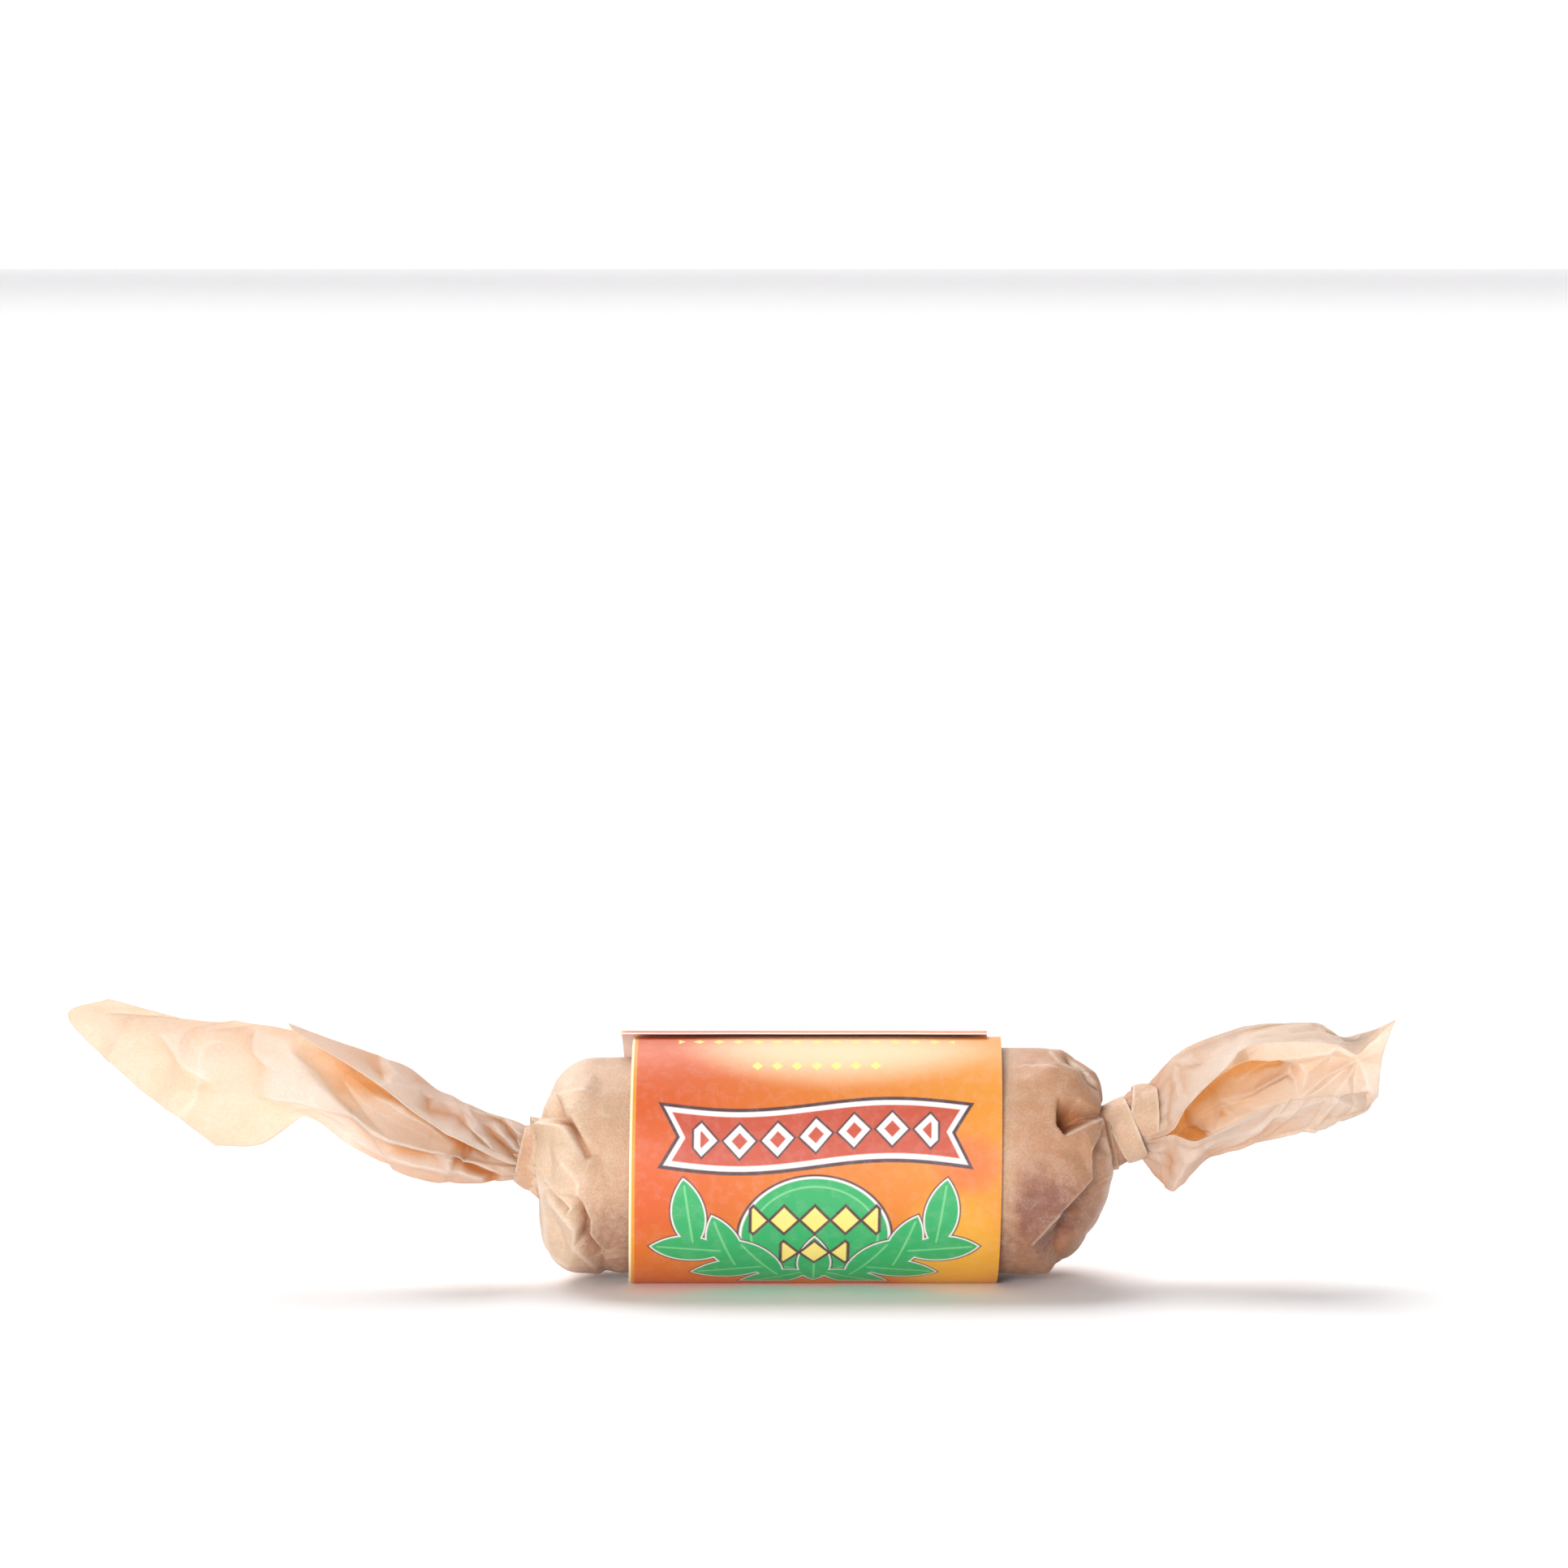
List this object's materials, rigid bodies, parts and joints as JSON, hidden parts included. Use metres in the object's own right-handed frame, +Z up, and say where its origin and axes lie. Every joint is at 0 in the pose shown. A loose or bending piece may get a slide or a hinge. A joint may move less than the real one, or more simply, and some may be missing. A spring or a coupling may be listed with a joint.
{
  "type": "wrapped caramel candy",
  "caption": "Soft caramel rolled in tan waxed paper with twisted, flared tails and a loose printed paper label round its middle.",
  "frame": {"origin": "on the table, in the middle of the small flat under the label", "axes": "+Z up, +X along the candy to the right as seen from its front, +Y away from its front"},
  "size_m": [0.0918, 0.0165, 0.0195],
  "materials": {
    "waxed_paper": "translucent waxed kraft paper with a soft sheen, paler where it is one layer",
    "printed_paper": "satin paper with a warm orange printed ground"
  },
  "bodies": {
    "root": {"wrapper": "waxed_paper", "label": "printed_paper"}
  },
  "joints": []
}
